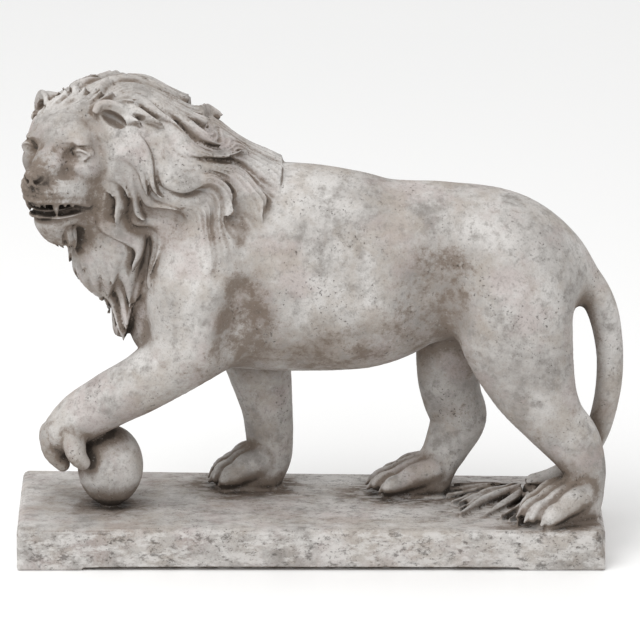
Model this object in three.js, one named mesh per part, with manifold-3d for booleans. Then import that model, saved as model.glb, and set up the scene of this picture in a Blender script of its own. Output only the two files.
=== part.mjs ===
// A garden lion cast in stone in one piece with its ball and plinth. It strides along the plinth with its
// left forepaw on the ball, and its head is turned to its left.
// Millimetres, +Z up. +X runs towards the tail, and -Y is the side that the face looks to.
// The origin is the middle of the plinth's underside.
import * as THREE from "three";
import { mergeVertices } from "three/addons/utils/BufferGeometryUtils.js";
import Module from "manifold-3d";

// Driving sizes.
const PLINTH = { length: 942, depth: 330, height: 70, corner: 9, bevel: 5 };
const PLINTH_SKEW = { front: 2, back: 8 }; // how far the head end runs out past half the length
const PLINTH_RISE = { start: 1.5, tailward: -5.5, back: -3, both: -6 }; // what the top gains or loses
const GROUND = PLINTH.height; // the height that the feet stand at
const BALL = { centre: [-326, -30, GROUND + 65], radii: [54, 54, 67] };
const HEAD = { eyes: [-403, -98, 678], turn: 60, eyeSpacing: 94 }; // turn is in degrees from straight ahead
const STONE = { color: 0xb4afa8, roughness: 0.92, metalness: 0 };
const CELL = 7.5; // the side of a sampling cell
const TRIANGLES = 9200; // what the carved surface is thinned to

// Each limb is a row of stations: x, y, z, half its width across the lion, and half its height along the
// section.
const SPINE = [
  [-246, 0, 424, 80, 96],
  [-180, 0, 446, 112, 146],
  [-95, 0, 458, 120, 168],
  [-19, 0, 459, 122, 171],
  [77, 0, 453, 115, 161],
  [150, 0, 464, 104, 139],
  [213, 0, 472, 98, 128],
  [300, 0, 474, 98, 111],
  [368, 0, 453, 78, 83],
  [402, 0, 442, 48, 56],
];
const NECK = [
  [-110, 0, 500, 100, 110],
  [-190, -4, 560, 92, 104],
  [-262, -14, 620, 80, 88],
  [-320, -36, 660, 70, 74],
];
const NEAR_FORELEG = [
  [-160, -72, 505, 44, 76],
  [-166, -80, 425, 50, 76],
  [-184, -82, 358, 50, 62],
  [-258, -72, 295, 45, 50],
  [-318, -60, 258, 43, 46],
  [-369, -52, 225, 44, 42],
  [-398, -46, 198, 42, 36],
];
const FAR_FORELEG = [
  [-150, 74, 480, 46, 78],
  [-121, 76, 390, 48, 71],
  [-95, 80, 305, 44, 60],
  [-85, 84, 258, 42, 52],
  [-74, 86, 200, 38, 43],
  [-70, 86, 156, 36, 40],
  [-70, 86, 118, 37, 38],
  [-76, 86, 95, 38, 34],
];
const NEAR_HIND_LEG = [
  [316, -50, 480, 58, 78],
  [320, -62, 430, 62, 92],
  [327, -68, 366, 56, 92],
  [352, -72, 288, 47, 72],
  [384, -75, 230, 40, 53],
  [417, -77, 190, 35, 47],
  [436, -79, 150, 32, 37],
  [438, -82, 112, 33, 33],
  [434, -85, 92, 35, 33],
];
const FAR_HIND_LEG = [
  [305, 52, 472, 56, 78],
  [266, 58, 390, 58, 80],
  [230, 62, 316, 50, 61],
  [222, 63, 260, 44, 52],
  [228, 62, 222, 40, 49],
  [238, 61, 188, 37, 47],
  [222, 58, 146, 34, 39],
  [205, 55, 112, 34, 33],
  [194, 54, 92, 35, 30],
];
const TAIL = [
  [362, 0, 484, 30, 33],
  [402, -2, 467, 28, 31],
  [438, -5, 438, 25, 29],
  [465, -9, 394, 22, 26],
  [478, -12, 334, 20, 23],
  [479, -14, 276, 19, 22],
  [471, -14, 222, 19, 21],
  [454, -12, 172, 19, 20],
  [426, 6, 126, 18, 17],
  [392, 26, 99, 18, 15],
  [358, 36, 86, 20, 13],
];

// Each paw: its ankle on the ground, the degrees that it turns outwards, its length, half a toe's width,
// and how high it stands against a full one.
const PAWS = [
  { ankle: [-76, 86], turn: 2, reach: 90, toe: 13.5, height: 1 },
  { ankle: [200, 54], turn: 4, reach: 108, toe: 13.5, height: 0.84 },
  { ankle: [432, -83], turn: 28, reach: 108, toe: 13.5, height: 0.9 },
];
// The toes that hang over the ball, nearest first: the root, the knuckle, the pad and the tip.
const BALL_TOES = [
  [[-384, -64, 208], [-382, -84, 190], [-377, -90, 170], [-368, -86, 157]],
  [[-400, -48, 206], [-418, -56, 191], [-417, -58, 166], [-402, -56, 145]],
  [[-402, -22, 202], [-422, -16, 186], [-420, -14, 161], [-402, -12, 140]],
  [[-390, 4, 200], [-406, 18, 182], [-404, 24, 158], [-388, 24, 140]],
];
// Strands of the tail's tuft, lying on the plinth: each one's end, and how far it swings on its way.
const TUFT_ROOT = [352, 36];
const TUFT = [
  { end: [222, 74], swing: 16 },
  { end: [214, 40], swing: 22 },
  { end: [240, 6], swing: 30 },
  { end: [226, -34], swing: 34 },
  { end: [244, -78], swing: 30 },
  { end: [268, -50], swing: 24 },
  { end: [300, -110], swing: -24 },
  { end: [330, -126], swing: -34 },
  { end: [282, 20], swing: 14 },
];

const { PI, abs, cos, hypot, max, min, sin, sqrt } = Math;
const clamp01 = (t) => min(1, max(0, t));
const mix = (a, b, t) => a + (b - a) * t;
const plus = (a, b, s = 1) => [a[0] + b[0] * s, a[1] + b[1] * s, a[2] + b[2] * s];
const dot = (a, b) => a[0] * b[0] + a[1] * b[1] + a[2] * b[2];
const cross = (a, b) => [a[1] * b[2] - a[2] * b[1], a[2] * b[0] - a[0] * b[2], a[0] * b[1] - a[1] * b[0]];
const unit = (a) => a.map((v) => v / (hypot(...a) || 1));
const UP = [0, 0, 1];
const WORLD = [[1, 0, 0], [0, 1, 0], UP];

// The head's own directions: forwards, to the lion's left, and up.
const headTurn = (HEAD.turn * PI) / 180;
const FORWARD = [-cos(headTurn), -sin(headTurn), 0];
const LEFT = [sin(headTurn), -cos(headTurn), 0];
const HEAD_AXES = [FORWARD, LEFT, UP];
const onHead = (forward, left, up) => plus(plus(plus(HEAD.eyes, FORWARD, forward), LEFT, left), UP, up);

// An egg with its own axes, as a distance that is exact enough near its surface.
function egg(centre, radii, axes = WORLD) {
  const reach = max(...radii);
  return {
    low: centre.map((v) => v - reach),
    high: centre.map((v) => v + reach),
    distance(x, y, z) {
      const v = [x - centre[0], y - centre[1], z - centre[2]];
      let near = 0;
      let steep = 0;
      for (let i = 0; i < 3; i++) {
        const q = dot(v, axes[i]) / radii[i];
        near += q * q;
        steep += (q / radii[i]) ** 2;
      }
      near = sqrt(near);
      return steep > 0 ? (near * (near - 1)) / sqrt(steep) : -min(...radii);
    },
  };
}

// A smooth curve through stations: every number of a station runs smoothly from each one to the next.
function throughStations(stations, stepsEach) {
  const at = (k) => stations[min(stations.length - 1, max(0, k))];
  const points = [];
  for (let k = 0; k < stations.length - 1; k++)
    for (let i = 0; i < stepsEach; i++) {
      const t = i / stepsEach;
      const [p, q, r, s] = [at(k - 1), at(k), at(k + 1), at(k + 2)];
      points.push(q.map((v, n) => {
        const slope = r[n] - p[n];
        const bend = 2 * p[n] - 5 * v + 4 * r[n] - s[n];
        const twist = 3 * v - 3 * r[n] + s[n] - p[n];
        return v + 0.5 * t * (slope + t * (bend + t * twist));
      }));
    }
  return [...points, at(stations.length - 1)];
}

// A limb: an oval section swept along a curve. Side is the direction that the half width lies along,
// or a function that gives it for each step.
function limb(stations, side = [0, 1, 0], stepsEach = 4) {
  const points = throughStations(stations, stepsEach);
  const reach = max(...points.map((p) => max(p[3], p[4])));
  const pieces = points.slice(1).map((b, i) => {
    const a = points[i];
    const along = plus(b, a, -1);
    const t = unit(along);
    const across = typeof side === "function" ? side(i) : side;
    const square = plus(across, t, -dot(across, t));
    const clear = hypot(...square) > 0.3;
    const s = unit(clear ? square : cross(t, abs(t[2]) < 0.8 ? UP : FORWARD));
    return { a, b, t, s, w: cross(t, s), length: hypot(...along) };
  });
  return {
    low: [0, 1, 2].map((i) => min(...points.map((p) => p[i])) - reach),
    high: [0, 1, 2].map((i) => max(...points.map((p) => p[i])) + reach),
    distance(x, y, z) {
      let best = Infinity;
      for (const { a, b, t, s, w, length } of pieces) {
        const vx = x - a[0];
        const vy = y - a[1];
        const vz = z - a[2];
        const along = vx * t[0] + vy * t[1] + vz * t[2];
        const f = clamp01(along / length);
        const rs = mix(a[3], b[3], f);
        const rw = mix(a[4], b[4], f);
        const rt = min(rs, rw);
        const ds = (vx * s[0] + vy * s[1] + vz * s[2]) / rs;
        const dw = (vx * w[0] + vy * w[1] + vz * w[2]) / rw;
        const dt = (along - f * length) / rt;
        const near = sqrt(ds * ds + dw * dw + dt * dt);
        const steep = sqrt((ds / rs) ** 2 + (dw / rw) ** 2 + (dt / rt) ** 2);
        const d = steep > 0 ? (near * (near - 1)) / steep : -rt;
        if (d < best) best = d;
      }
      return best;
    },
  };
}

// The carving as an ordered list: each shape is joined to, or cut from, what is before it, with a fillet.
const carving = [];
const join = (shape, fillet) => carving.push({ ...shape, fillet, sign: 1 });
const cut = (shape, fillet) => carving.push({ ...shape, fillet, sign: -1 });

// Two distances joined with a fillet of about the given size.
function blended(a, b, fillet) {
  const h = max(fillet - abs(a - b), 0) / fillet;
  return min(a, b) - h * h * fillet * 0.25;
}

function body() {
  join(limb(SPINE), 1);
  join(limb(NEAR_HIND_LEG), 34);
  join(limb(FAR_HIND_LEG), 34);
  join(limb(NEAR_FORELEG), 30);
  join(limb(FAR_FORELEG), 30);
  join(limb(NECK), 40);
  join(limb(TAIL), 14);
  for (const side of [-1, 1]) {
    join(egg([-160, side * 70, 440], [76, 52, 118]), 40);
    // The shoulder and elbow stand out in front of a hollow, and the flank sinks before the thigh.
    join(egg([-196, side * 94, 420], [56, 28, 84]), 34);
    cut(egg([-112, side * 132, 384], [26, 20, 66]), 36);
    cut(egg([190, side * 124, 420], [30, 22, 70]), 44);
  }
}

function paws() {
  for (const { ankle, turn, reach, toe, height } of PAWS) {
    const angle = (turn * PI) / 180;
    const ahead = [-cos(angle), -sin(angle), 0];
    const across = cross(UP, ahead);
    const at = (forward, side, up) => plus(plus([...ankle, GROUND + up], ahead, forward), across, side);
    join(egg(at(14, 0, 26), [40, 40, 32], [ahead, across, UP]), 16);
    for (let place = -1.5; place <= 1.5; place++) {
      const long = reach * (abs(place) < 1 ? 1 : 0.84);
      const side = place * toe * 1.7;
      const stations = [
        [...at(long * 0.1, side * 0.85, 46 * height), toe * 1.2, 24 * height],
        [...at(long * 0.45, side * 0.98, 34 * height), toe * 1.03, 22 * height],
        [...at(long * 0.7, side * 1.02, 24 * height), toe * 1.08, 20 * height],
        [...at(long * 0.88, side * 1.04, 14), toe, 14],
      ];
      join(limb(stations, across, 3), 5);
    }
  }
}

function tuft() {
  for (const { end, swing } of TUFT) {
    const way = [end[0] - TUFT_ROOT[0], end[1] - TUFT_ROOT[1]];
    const square = unit([way[1], -way[0], 0]);
    const stations = [];
    for (let step = 0; step <= 4; step++) {
      const t = step / 4;
      const aside = swing * sin(PI * t) * (1 - 0.6 * t);
      const x = TUFT_ROOT[0] + way[0] * t + square[0] * aside;
      const y = TUFT_ROOT[1] + way[1] * t + square[1] * aside;
      const width = 17 * sin(PI * (0.28 + 0.66 * t));
      stations.push([x, y, GROUND + 4 - 3 * t, max(3, width), max(4, 16 * (1 - 0.55 * t))]);
    }
    join(limb(stations, square, 3), 3);
  }
}

function ballUnderPaw() {
  join(egg(BALL.centre, BALL.radii), 4);
  for (const [root, knuckle, pad, tip] of BALL_TOES) {
    const out = unit([knuckle[0] - BALL.centre[0], knuckle[1] - BALL.centre[1], 0]);
    const stations = [
      [...root, 18, 18],
      [...knuckle, 18, 19],
      [...pad, 17, 18],
      [...tip, 13, 12],
    ];
    join(limb(stations, cross(UP, out), 3), 4);
  }
}

const onFace = (forward, left, up, radii) => egg(onHead(forward, left, up), radii, HEAD_AXES);

// A limb whose stations are forward, left, up, half width, half height on the head.
const headLimb = (stations, side) =>
  limb(stations.map(([f, l, u, ...size]) => [...onHead(f, l, u), ...size]), side, 3);

const SKULL = onFace(-62, 0, 0, [78, 68, 64]);
const MUZZLE_MIDDLE = 10; // how far ahead of the eyes the muzzle's middle is
// The outline of the muzzle at the lips, from the front to a corner of the mouth: forward and left.
const MUZZLE = [[67, 3], [61, 20], [43, 37], [15, 48], [-14, 54]];

// A limb that follows the muzzle, set in by a share of its size, with a height and sizes at each point.
function roundMuzzle(side, inset, ups, high, deep) {
  const stations = MUZZLE.map(([forward, left], i) =>
    [mix(forward, MUZZLE_MIDDLE, inset), side * left * (1 - inset), ups[i], high[i], deep[i]]);
  return headLimb(stations, UP);
}

function skull() {
  join(SKULL, 20);
  join(onFace(-24, 0, 20, [30, 48, 30]), 22);
  // The bridge of the nose.
  const bridge = [
    [-16, 0, 2, 34, 26],
    [16, 0, -14, 29, 25],
    [44, 0, -30, 23, 21],
    [60, 0, -36, 19, 17],
  ];
  join(headLimb(bridge, LEFT), 16);
  join(onFace(18, 0, -52, [42, 40, 28]), 14);
  for (const side of [-1, 1]) {
    join(onFace(-14, side * 45, -22, [30, 23, 26]), 18);
    join(onFace(-4, side * 36, 16, [16, 22, 9]), 12);
    join(onFace(-44, side * 40, -58, [42, 28, 48]), 20);
    join(onFace(-6, side * 38, -62, [26, 16, 24]), 16);
  }
}

function muzzle() {
  // The jaw hangs under the mouth and ends in a chin.
  join(onFace(2, 0, -108, [42, 33, 20]), 12);
  join(onFace(-38, 0, -100, [42, 46, 36]), 20);
  join(onFace(23, 0, -116, [20, 22, 20]), 12);
  join(onFace(7, 0, -132, [21, 22, 17]), 14);
  join(onFace(-10, 0, -143, [20, 20, 15]), 14);
  // The broad pads of the upper lip, the mouth cut below them, and both lips' edges.
  for (const side of [-1, 1])
    join(roundMuzzle(side, 0.24, [-53, -53, -54, -57, -66], [18, 20, 20, 18, 12], [14, 16, 16, 14, 10]), 9);
  for (const side of [-1, 1])
    cut(roundMuzzle(side, 0.02, [-84, -84, -85, -88, -94], [8, 8, 7, 4.5, 2], [13, 13, 12, 10, 6]), 3);
  for (const side of [-1, 1]) {
    join(roundMuzzle(side, 0.1, [-70, -71, -72, -76, -86], [5, 5.5, 5.5, 5, 4], [6, 6.5, 6.5, 6, 5]), 8);
    join(roundMuzzle(side, 0.26, [-97, -98, -99, -99, -99], [4.5, 4.5, 4.5, 4, 4], [6, 6, 6, 6, 6]), 5);
  }
  // The teeth and tongue as one mass, and the nose.
  join(onFace(12, 0, -87, [41, 33, 7]), 3);
  join(onFace(62, 0, -28, [13, 17, 10]), 7);
}

function eyes() {
  for (const side of [-1, 1]) {
    const middle = (side * HEAD.eyeSpacing) / 2;
    cut(onFace(14, middle, -1, [15, 20, 10]), 9);
    join(onFace(-6, middle, -1, [16, 19, 14]), 1.5);
  }
}

// Each ear: the side of the head, its place back and out from the eyes' middle, and up.
const EARS = [
  { side: 1, back: -50, out: 74, up: 55 },
  { side: -1, back: -72, out: 60, up: 50 },
];
const EAR_SLOPE = (32 * PI) / 180;

function ears() {
  for (const { side, back, out, up } of EARS) {
    const facing = unit(plus(FORWARD, LEFT, 0.85 * side));
    const outwards = unit(cross(UP, facing)).map((v) => v * side);
    const rise = cross(facing, outwards).map((v) => v * side);
    const long = plus(outwards.map((v) => v * cos(EAR_SLOPE)), rise, -sin(EAR_SLOPE));
    const high = plus(outwards.map((v) => v * sin(EAR_SLOPE)), rise, cos(EAR_SLOPE));
    const axes = [facing, long, high];
    const centre = onHead(back, side * out, up);
    join(egg(plus(centre, facing, -4), [14, 32, 19], axes), 6);
    // The rim runs from the front of the ear over its top to the back.
    const stations = [];
    for (let step = 0; step <= 6; step++) {
      const turn = (mix(190, -30, step / 6) * PI) / 180;
      const roundAt = plus(plus(plus(centre, facing, 6), long, 27 * cos(turn)), high, 15 * sin(turn));
      stations.push([...roundAt, 6, 7]);
    }
    join(limb(stations, facing, 2), 3);
    cut(egg(plus(plus(centre, facing, 12), high, -3), [16, 19, 8], axes), 4);
  }
}

// The mass of the mane that the locks lie on.
const MANE_BULK = [
  egg(onHead(-88, 0, 0), [64, 80, 72], HEAD_AXES),
  egg([-302, -8, 684], [84, 100, 86]),
  egg([-222, 0, 628], [96, 108, 94]),
  egg([-150, 0, 588], [92, 96, 70]),
  egg([-315, -26, 507], [60, 80, 74]),
  egg([-254, -16, 416], [42, 66, 80]),
];
const MANE_FILLET = 40;
// What the locks lie on: the bulk, with the skull before it and the barrel and shoulders behind it.
const UNDER_LOCKS = [
  SKULL,
  ...MANE_BULK,
  egg([-160, -70, 440], [76, 52, 118]),
  egg([-160, 70, 440], [76, 52, 118]),
  egg([-70, 0, 459], [130, 120, 166]),
];

function maneBulk(x, y, z) {
  return UNDER_LOCKS.reduce((d, shape) => blended(d, shape.distance(x, y, z), MANE_FILLET), 1e6);
}

function maneNormal(p) {
  const e = 2;
  return unit(WORLD.map((way) => maneBulk(...plus(p, way, e)) - maneBulk(...plus(p, way, -e))));
}

function ontoMane(p, lift) {
  let q = p;
  for (let i = 0; i < 3; i++) q = plus(q, maneNormal(q), lift - maneBulk(...q));
  return q;
}

const LOCK = { steps: 12, wave: 0.5, rootLift: -12, tipLift: 9, thickness: 0.72 };
const FACE_CENTRE = onHead(-30, 0, -20);
// The mane ends on the chest and shoulders along this line: x, and the height there.
const MANE_HEM = [[-400, 335], [-300, 345], [-285, 430], [-262, 480], [-158, 500], [-117, 530], [-50, 605]];

// A repeatable number from 0 to 1 for each lock.
function scatter(index, salt) {
  const v = sin(index * 127.1 + salt * 311.7) * 43758.5453;
  return v - Math.floor(v);
}

function hemAt(x, index) {
  const next = MANE_HEM.findIndex(([at]) => at > x);
  const k = next < 0 ? MANE_HEM.length - 2 : max(0, next - 1);
  const [[x0, z0], [x1, z1]] = [MANE_HEM[k], MANE_HEM[k + 1]];
  return mix(z0, z1, clamp01((x - x0) / (x1 - x0))) + 26 * (scatter(index, 6) - 0.6);
}

// Where a lock runs: away from the face, then down and in again, over the bulk of the mane.
function lockPath(start, index, long, { phase, curl }) {
  const points = [];
  const sides = [];
  const shift = phase + 0.22 * (scatter(index, 4) - 0.5);
  let p = start;
  for (let i = 0; i <= LOCK.steps; i++) {
    const t = i / LOCK.steps;
    p = ontoMane(p, mix(LOCK.rootLift, LOCK.tipLift, sqrt(t)) + 8 * (scatter(index, 3) - 0.5));
    const n = maneNormal(p);
    const off = plus(p, FACE_CENTRE, -1);
    const far = clamp01((hypot(...off) - 90) / 170);
    const away = unit(off).map((v) => v * mix(1.25, 0.6, far) * mix(1.3, -curl, t));
    const flow = plus(away, [0.15, 0, -1], mix(0.75, 1, far) * mix(0.6, 1.2, t));
    const flat = unit(plus(flow, n, -dot(flow, n)));
    const bend = LOCK.wave * sin(2 * PI * (t + shift)) * (n[1] < 0 ? 1 : -1);
    const way = unit(plus(flat, cross(n, flat), bend));
    points.push(p);
    sides.push(cross(n, way));
    p = plus(p, way, long / LOCK.steps);
  }
  return { points, sides };
}

// A tapering lock, as long as the mane's hem lets it be, or none.
function lock(start, index, ring) {
  const long = ring.long * mix(0.85, 1.15, scatter(index, 1));
  let wide = ring.wide * mix(0.85, 1.2, scatter(index, 2));
  let path = lockPath(start, index, long, ring);
  const below = path.points.findIndex((p) => p[2] < hemAt(p[0], index));
  if (below >= 0) {
    const kept = below / LOCK.steps;
    if (kept < 0.4) return null;
    wide *= mix(0.75, 1, kept);
    path = lockPath(start, index, long * kept, ring);
  }
  const stations = path.points.map((p, i) => {
    const t = i / LOCK.steps;
    const full = sqrt(sin(PI * min(0.999, 0.22 + t * 0.78))) * (1 - 0.2 * t);
    return [...p, max(3, wide * full), max(3, LOCK.thickness * wide * full)];
  });
  return limb(stations, (step) => path.sides[step], 1);
}

// The ways that the rings of locks face, from the shoulders to the hairline.
const NECK_WAY = [-0.95, 0, 0.3];
const TURNING_WAY = [-0.93, -0.2, 0.3];
const TURNED_WAY = [-0.85, -0.5, 0.15];
const HAIRLINE_WAY = plus(FORWARD, UP, -0.15);
// Rings of locks round the head and neck, rearmost first: a ring's centre, the way it faces, how many locks
// it has, how long and half how wide they are, where their wave starts and how far their tips curl in.
const RINGS = [
  { centre: [-140, 0, 596], faces: NECK_WAY, locks: 13, long: 120, wide: 24, phase: 0, curl: 0.2 },
  { centre: [-190, 0, 612], faces: NECK_WAY, locks: 14, long: 140, wide: 25, phase: 0.1, curl: 0.25 },
  { centre: [-245, 0, 638], faces: TURNING_WAY, locks: 15, long: 145, wide: 25, phase: -0.05, curl: 0.3 },
  { centre: [-298, 0, 664], faces: TURNED_WAY, locks: 15, long: 145, wide: 24, phase: 0.1, curl: 0.35 },
  { centre: onHead(-84, 0, 0), faces: FORWARD, locks: 15, long: 135, wide: 21, phase: 0, curl: 0.4 },
  { centre: onHead(-58, 0, 0), faces: FORWARD, locks: 17, long: 112, wide: 17, phase: 0.12, curl: 0.4 },
  { centre: onHead(-42, 0, 2), faces: HAIRLINE_WAY, locks: 24, long: 84, wide: 11, phase: 0, curl: 0.2 },
];
const CHEST = { heights: [400, 450, 500, 550], locks: 8, spread: 176, axis: [-262, -14] };
const CHEST_LOCKS = { long: 112, wide: 20, phase: 0.05, curl: -0.2 };

// The last place where a line leaves the bulk of the mane, or none where it passes by.
function outToMane(from, way) {
  let found = null;
  for (let along = 0; along < 200; along += 2) {
    const p = plus(from, way, along);
    if (maneBulk(...p) < 0) found = p;
  }
  return found;
}

function mane() {
  for (const shape of MANE_BULK) join(shape, 22);
  let index = 0;
  const grow = (from, way, ring) => {
    const root = outToMane(from, way);
    const shape = root && lock(root, index, ring);
    index++;
    if (shape) join(shape, 3);
  };
  CHEST.heights.forEach((height, row) => {
    for (let i = 0; i < CHEST.locks; i++) {
      const across = (((i + 0.5 * (row % 2)) / (CHEST.locks - 1) - 0.5) * CHEST.spread * PI) / 180;
      grow([...CHEST.axis, height], [-cos(across), sin(across), 0], CHEST_LOCKS);
    }
  });
  RINGS.forEach((ring, number) => {
    const ahead = unit(ring.faces);
    const side = unit(cross(UP, ahead));
    const up = cross(ahead, side);
    for (let i = 0; i < ring.locks; i++) {
      const turn = (2 * PI * (i + 0.5 * (number % 2))) / ring.locks;
      grow(ring.centre, plus(side.map((v) => v * cos(turn)), up, sin(turn)), ring);
    }
  });
}

// Short tufts under the jaw and along its sides.
const BEARD = { tufts: 9, spread: 224, drop: 42, width: 12 };

function beard() {
  for (let number = 0; number < BEARD.tufts; number++) {
    const turn = ((number / (BEARD.tufts - 1) - 0.5) * BEARD.spread * PI) / 180;
    const out = plus(FORWARD.map((v) => v * cos(turn)), LEFT, sin(turn));
    const base = plus(plus(onHead(-12, 0, -116), FORWARD, 20 * cos(turn)), LEFT, 24 * sin(turn));
    const stations = [];
    for (let step = 0; step <= 4; step++) {
      const t = step / 4;
      const hung = plus(plus(base, out, 4 * sin(PI * t)), UP, -BEARD.drop * t);
      const back = plus(hung, FORWARD, -24 * t * t);
      const waved = plus(back, LEFT, 6 * sin(PI * (t + 0.5 * (number % 2))));
      const size = max(2.5, BEARD.width * sin(PI * (0.35 + 0.6 * t)));
      stations.push([...waved, size, size]);
    }
    join(limb(stations, cross(UP, out), 3), 3);
  }
}

// The field of the whole carving, sampled in blocks so that each block reads only the shapes near it.
function sampled() {
  const low = [-485, -190, GROUND - 12];
  const high = [520, 185, 830];
  const size = low.map((v, i) => Math.ceil((high[i] - v) / CELL) + 1);
  const field = new Float32Array(size[0] * size[1] * size[2]).fill(CELL);
  const block = 8;
  for (let bz = 0; bz < size[2]; bz += block)
    for (let by = 0; by < size[1]; by += block)
      for (let bx = 0; bx < size[0]; bx += block) {
        const from = [bx, by, bz].map((v, i) => low[i] + v * CELL);
        const to = from.map((v) => v + block * CELL);
        const near = carving.filter(({ low: l, high: h, fillet }) =>
          [0, 1, 2].every((i) => l[i] - fillet - CELL < to[i] && h[i] + fillet + CELL > from[i]));
        if (!near.length) continue;
        for (let k = bz; k < min(bz + block, size[2]); k++)
          for (let j = by; j < min(by + block, size[1]); j++)
            for (let i = bx; i < min(bx + block, size[0]); i++) {
              const p = [low[0] + i * CELL, low[1] + j * CELL, low[2] + k * CELL];
              let d = 1e3;
              for (const shape of near) {
                const own = shape.distance(...p);
                d = shape.sign > 0 ? blended(d, own, shape.fillet) : -blended(-d, own, shape.fillet);
              }
              const edge = [i, j, k].some((n, axis) => n === 0 || n === size[axis] - 1);
              field[(k * size[1] + j) * size[0] + i] = edge ? CELL : d || 1e-4;
            }
      }
  return { field, size, low };
}

// The six tetrahedra that share a cell's long diagonal, as corner numbers whose bits are x, y and z.
const TETRAHEDRA = [
  [0, 1, 3, 7],
  [0, 3, 2, 7],
  [0, 2, 6, 7],
  [0, 6, 4, 7],
  [0, 4, 5, 7],
  [0, 5, 1, 7],
];

// The closed surface where the field changes sign, as vertices and triangles that face out.
function surfaceOf({ field, size, low }) {
  const vertices = [];
  const triangles = [];
  const known = new Map();
  const total = field.length;
  const bits = [0, 1, 2, 3, 4, 5, 6, 7];
  const corner = bits.map((c) => (c & 1) + ((c >> 1) & 1) * size[0] + (c >> 2) * size[0] * size[1]);
  const place = (n) => [
    low[0] + (n % size[0]) * CELL,
    low[1] + (Math.floor(n / size[0]) % size[1]) * CELL,
    low[2] + Math.floor(n / (size[0] * size[1])) * CELL,
  ];
  const crossing = (a, b) => {
    const key = a < b ? a * total + b : b * total + a;
    if (!known.has(key)) {
      const t = min(0.98, max(0.02, field[a] / (field[a] - field[b])));
      const pa = place(a);
      const pb = place(b);
      known.set(key, vertices.length);
      vertices.push([mix(pa[0], pb[0], t), mix(pa[1], pb[1], t), mix(pa[2], pb[2], t)]);
    }
    return known.get(key);
  };
  const face = (a, b, c, inside) => {
    const [u, v, w] = [vertices[a], vertices[b], vertices[c]];
    const out = dot(cross(plus(v, u, -1), plus(w, u, -1)), plus(u, inside, -1));
    triangles.push(out > 0 ? [a, b, c] : [a, c, b]);
  };
  for (let k = 0; k < size[2] - 1; k++)
    for (let j = 0; j < size[1] - 1; j++)
      for (let i = 0; i < size[0] - 1; i++) {
        const base = (k * size[1] + j) * size[0] + i;
        let inner = 0;
        for (const c of corner) inner += field[base + c] < 0 ? 1 : 0;
        if (inner === 0 || inner === 8) continue;
        for (const tet of TETRAHEDRA) {
          const ids = tet.map((c) => base + corner[c]);
          const ins = ids.filter((n) => field[n] < 0);
          const outs = ids.filter((n) => field[n] >= 0);
          if (!ins.length || !outs.length) continue;
          const inside = place(ins[0]);
          if (ins.length === 1) face(...outs.map((o) => crossing(ins[0], o)), inside);
          else if (outs.length === 1) face(...ins.map((n) => crossing(n, outs[0])), inside);
          else {
            const [p, q, r, s] = [
              crossing(ins[0], outs[0]),
              crossing(ins[0], outs[1]),
              crossing(ins[1], outs[1]),
              crossing(ins[1], outs[0]),
            ];
            face(p, q, r, inside);
            face(p, r, s, inside);
          }
        }
      }
  return { vertices, triangles };
}

// Keeps the largest connected body of a surface.
function largestBody({ vertices, triangles }) {
  const parent = vertices.map((_, i) => i);
  const root = (i) => {
    while (parent[i] !== i) i = parent[i] = parent[parent[i]];
    return i;
  };
  for (const [a, b, c] of triangles) {
    parent[root(a)] = root(b);
    parent[root(b)] = root(c);
  }
  const count = new Map();
  for (const [a] of triangles) count.set(root(a), (count.get(root(a)) ?? 0) + 1);
  const best = [...count].sort((a, b) => b[1] - a[1])[0][0];
  return { vertices, triangles: triangles.filter(([a]) => root(a) === best) };
}

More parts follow.
